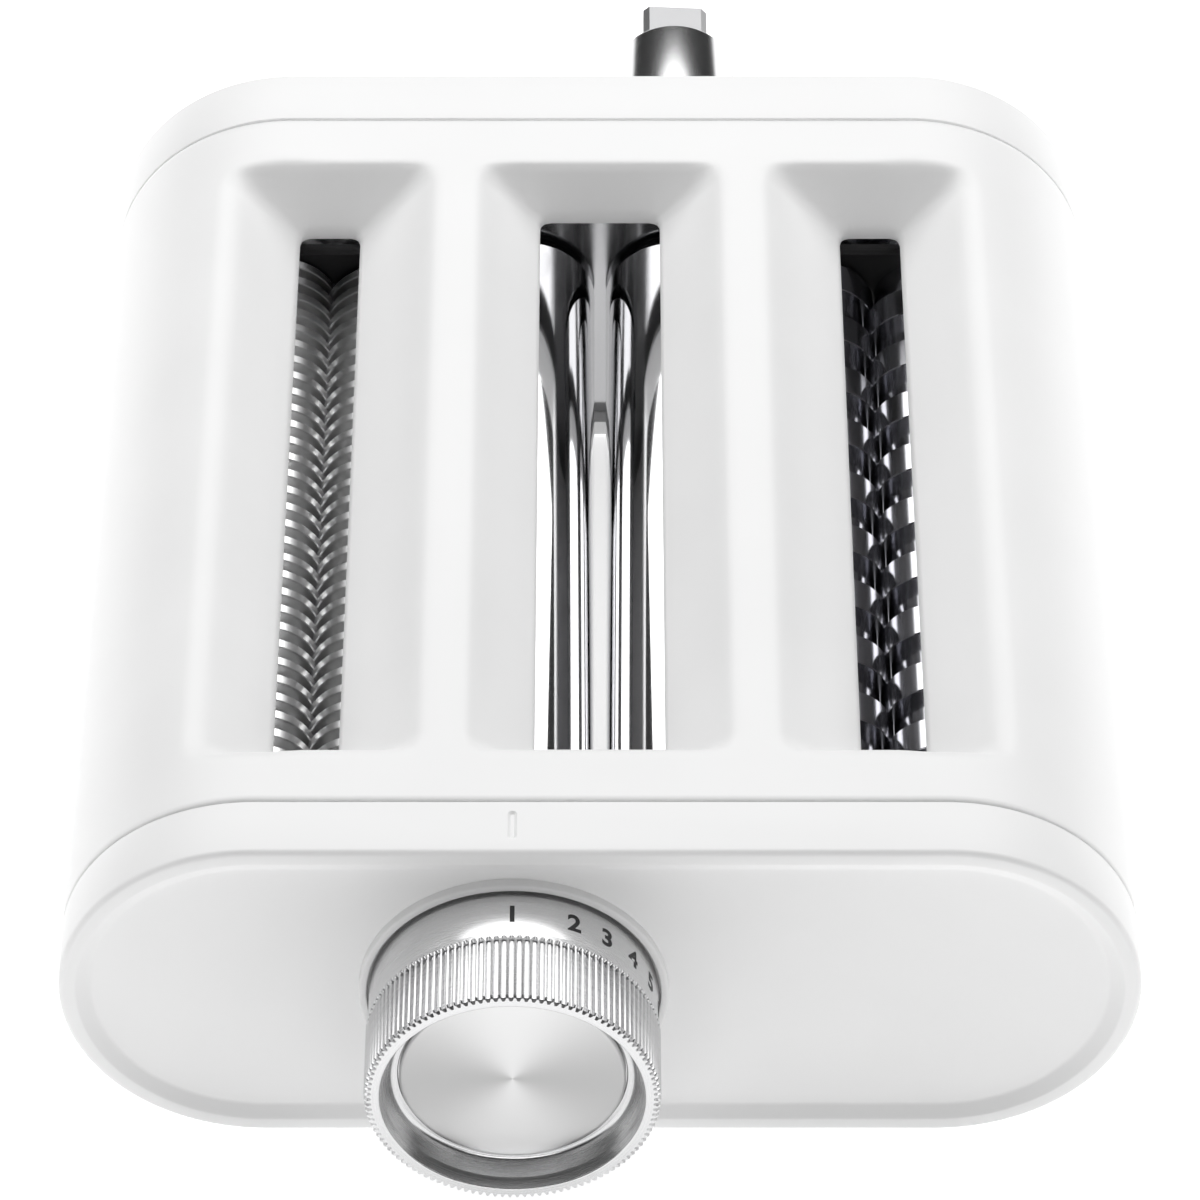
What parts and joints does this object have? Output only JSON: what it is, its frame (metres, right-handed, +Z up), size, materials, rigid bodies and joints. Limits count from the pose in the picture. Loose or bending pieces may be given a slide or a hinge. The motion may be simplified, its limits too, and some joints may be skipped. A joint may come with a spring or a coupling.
{
  "type": "stand mixer pasta roller and cutter attachment",
  "caption": "White stand mixer attachment with smooth sheet rollers, a fine and a wide pasta cutter pair, hoppers on top, a numbered thickness dial and a square drive tang.",
  "frame": {"origin": "middle of the bounding box on the surface the housing stands on", "axes": "+X to the right seen from the dial, +Y from the dial to the drive tang, +Z up out of the hoppers"},
  "size_m": [0.176, 0.2782, 0.065],
  "materials": {
    "white_plastic": "satin white",
    "bezel_plastic": "satin white",
    "hub_steel": "turned and polished",
    "tang_steel": "polished",
    "bush_plastic": "dark, low friction",
    "plate_steel": "polished sheet",
    "shaft_steel": "ground",
    "fastener_steel": "zinc plated",
    "guard_plastic": "dark",
    "comb_plastic": "natural white",
    "roller_chrome": "mirror chrome",
    "gear_steel": "hardened",
    "fine_cutter_steel": "satin",
    "wide_cutter_steel": "polished",
    "knob_aluminium": "satin anodised",
    "spun_disc": "spun finish",
    "insert_plastic": "black",
    "cam_steel": "blanked"
  },
  "bodies": {
    "housing": {"main_housing": "white_plastic", "bottom_cover": "white_plastic", "front_cap": "white_plastic", "rear_cap": "white_plastic", "knob_bezel": "bezel_plastic", "hub_collar": "hub_steel", "hub_bush": "bush_plastic", "front_bearing_plate": "plate_steel", "rear_bearing_plate": "plate_steel", "frame_spacers": "shaft_steel", "spacer_screws": "fastener_steel", "front_cap_screws": "fastener_steel", "rear_cap_screws": "fastener_steel", "drive_roller_bushes": "bush_plastic", "cutter_bushes": "bush_plastic", "fine_end_guards": "guard_plastic", "wide_end_guards": "guard_plastic", "drive_roller_scraper": "comb_plastic", "slide_guides": "shaft_steel", "idler_stud": "shaft_steel", "adjuster_bush": "bush_plastic", "detent_ball": "fastener_steel", "detent_spring": "fastener_steel", "fine_combs": "comb_plastic", "wide_combs": "comb_plastic"},
    "drive_roller": {"drive_roller": "roller_chrome", "drive_shaft": "tang_steel", "drive_cross_pin": "shaft_steel", "drive_roller_gear": "gear_steel", "cutter_drive_gear": "gear_steel"},
    "carriage": {"front_slide_plate": "plate_steel", "rear_slide_plate": "plate_steel", "carriage_rods": "shaft_steel", "follower_pin": "shaft_steel", "adjust_roller_bushes": "bush_plastic", "adjust_roller_scraper": "comb_plastic"},
    "adjust_roller": {"adjust_roller": "roller_chrome", "adjust_roller_gear": "gear_steel"},
    "idler": {"idler_gear": "gear_steel"},
    "dial": {"dial_shaft": "shaft_steel", "scroll_cam": "cam_steel", "dial_clip": "fastener_steel", "knob_insert": "insert_plastic", "knob_grip": "knob_aluminium", "dial_ring": "knob_aluminium", "knob_disc": "spun_disc", "knob_screw": "fastener_steel"},
    "fine_cutter_inner": {"fine_cutter_inner": "fine_cutter_steel", "fine_gear_inner": "gear_steel", "fine_clip_inner": "fastener_steel"},
    "fine_cutter_outer": {"fine_cutter_outer": "fine_cutter_steel", "fine_gear_outer": "gear_steel", "fine_clip_outer": "fastener_steel"},
    "wide_cutter_inner": {"wide_cutter_inner": "wide_cutter_steel", "wide_gear_inner": "gear_steel", "wide_clip_inner": "fastener_steel"},
    "wide_cutter_outer": {"wide_cutter_outer": "wide_cutter_steel", "wide_gear_outer": "gear_steel", "wide_clip_outer": "fastener_steel"}
  },
  "joints": [
    {"name": "drive_spin", "type": "hinge", "parent": "housing", "child": "drive_roller", "pos_m": [0.014, -0.01595, 0.0325], "axis": [0, 1, 0], "continuous": true},
    {"name": "dial_turn", "type": "hinge", "parent": "housing", "child": "dial", "pos_m": [-0.014, -0.11595, 0.0325], "axis": [0, -1, 0], "range_deg": [0, 116.2]},
    {"name": "roller_gap", "type": "slide", "parent": "housing", "child": "carriage", "axis": [1, 0, 0], "range_m": [0, 0.0016]},
    {"name": "adjust_spin", "type": "hinge", "parent": "carriage", "child": "adjust_roller", "pos_m": [-0.014, -0.01595, 0.0325], "axis": [0, 1, 0], "continuous": true},
    {"name": "idler_spin", "type": "hinge", "parent": "housing", "child": "idler", "pos_m": [-0.01713, -0.01595, 0.02835], "axis": [0, 1, 0], "continuous": true},
    {"name": "fine_inner_spin", "type": "hinge", "parent": "housing", "child": "fine_cutter_inner", "pos_m": [-0.0399, -0.01595, 0.0325], "axis": [0, 1, 0], "continuous": true},
    {"name": "fine_outer_spin", "type": "hinge", "parent": "housing", "child": "fine_cutter_outer", "pos_m": [-0.0575, -0.01595, 0.0325], "axis": [0, 1, 0], "continuous": true},
    {"name": "wide_inner_spin", "type": "hinge", "parent": "housing", "child": "wide_cutter_inner", "pos_m": [0.0399, -0.01595, 0.0325], "axis": [0, 1, 0], "continuous": true},
    {"name": "wide_outer_spin", "type": "hinge", "parent": "housing", "child": "wide_cutter_outer", "pos_m": [0.0575, -0.01595, 0.0325], "axis": [0, 1, 0], "continuous": true}
  ],
  "couplings": [
    {"joint": "adjust_spin", "follows": "drive_spin", "ratio": -1},
    {"joint": "idler_spin", "follows": "drive_spin", "ratio": -1.1923},
    {"joint": "fine_inner_spin", "follows": "drive_spin", "ratio": 1.9375},
    {"joint": "fine_outer_spin", "follows": "drive_spin", "ratio": -1.9375},
    {"joint": "wide_inner_spin", "follows": "drive_spin", "ratio": -1.9375},
    {"joint": "wide_outer_spin", "follows": "drive_spin", "ratio": 1.9375},
    {"joint": "dial_turn", "follows": "roller_gap", "rad_per_m": 1267.5}
  ]
}
